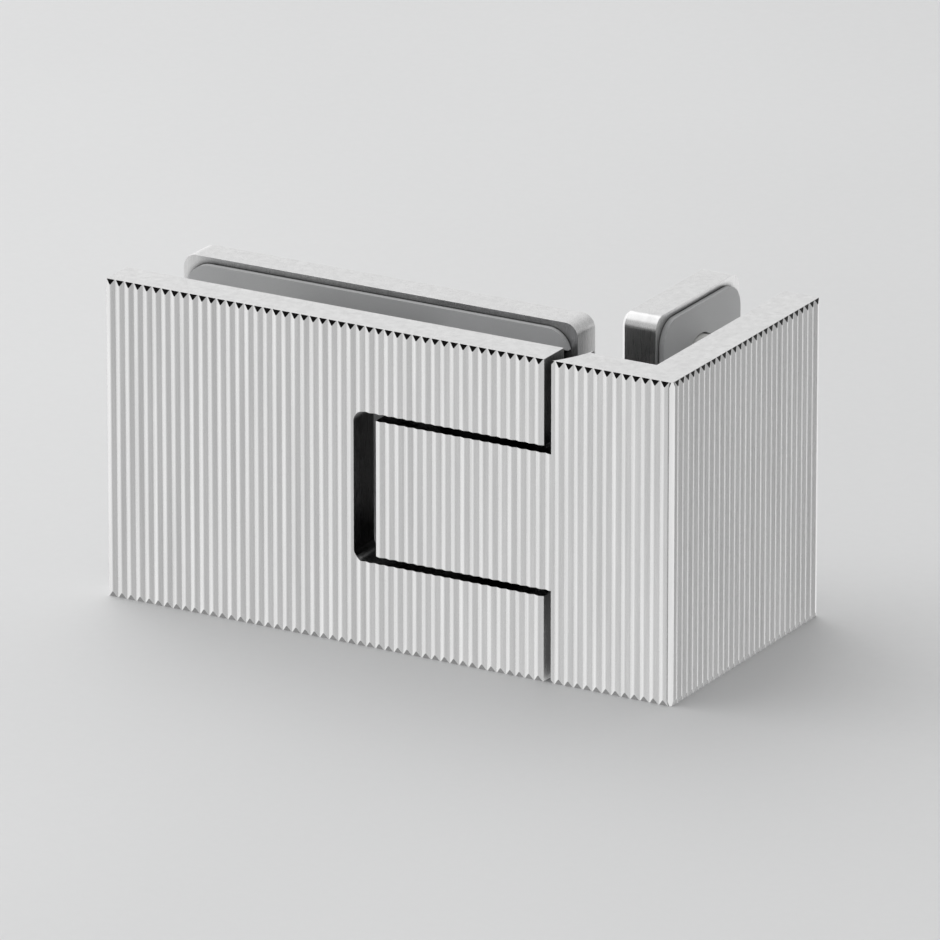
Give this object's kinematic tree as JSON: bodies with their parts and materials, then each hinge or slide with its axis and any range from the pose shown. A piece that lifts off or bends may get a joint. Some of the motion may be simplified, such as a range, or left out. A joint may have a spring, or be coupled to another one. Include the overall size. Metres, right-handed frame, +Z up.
{
  "type": "lift hinge",
  "caption": "Fluted steel glass-to-glass corner hinge: a C-shaped door clamp turns on the tongue of a fixed corner clamp and rises on helical cams as it opens.",
  "frame": {"origin": "outer edge of the fixed panel's end, at mid-height: the corner of the L-shaped gasket, where the planes of both panels' outer faces meet", "axes": "-X along the closed door and out of the fixed panel's outer glass face, +Y along the fixed panel towards the inside, +Z up along the pivot axis"},
  "size_m": [0.1135, 0.0585, 0.059],
  "materials": {
    "fluted_steel": "satin, vertical grain",
    "plate_steel": "satin",
    "block_steel": "milled",
    "screw_steel": "turned",
    "gasket": "matt",
    "sleeve": "moulded",
    "bush": "turned",
    "cam": "moulded"
  },
  "bodies": {
    "fixed_side": {"corner_body": "fluted_steel", "fixed_inner_plate": "plate_steel", "fixed_outer_gasket": "gasket", "fixed_inner_gasket": "gasket", "fixed_clamp_screws": "screw_steel", "fixed_screw_sleeves": "sleeve", "upper_bush": "bush", "lower_bush": "bush", "fixed_lift_cam": "cam"},
    "pivot": {"pivot_pin": "screw_steel", "retaining_ring": "screw_steel"},
    "door_leaf": {"door_outer_plate": "fluted_steel", "door_inner_plate": "plate_steel", "door_outer_gasket": "gasket", "door_inner_gasket": "gasket", "upper_pivot_block": "block_steel", "lower_pivot_block": "block_steel", "door_lift_cam": "cam", "cam_dowels": "screw_steel", "door_clamp_screws": "screw_steel", "door_screw_sleeves": "sleeve", "pivot_block_screws": "screw_steel"}
  },
  "joints": [
    {"name": "door_swing", "type": "hinge", "parent": "fixed_side", "child": "pivot", "pos_m": [-0.034, 0.005, 0], "axis": [0, 0, 1], "range_deg": [0, 90]},
    {"name": "door_rise", "type": "slide", "parent": "pivot", "child": "door_leaf", "axis": [0, 0, 1], "range_m": [0, 0.001]}
  ],
  "couplings": [
    {"joint": "door_rise", "follows": "door_swing", "m_per_rad": 0.00063662}
  ]
}
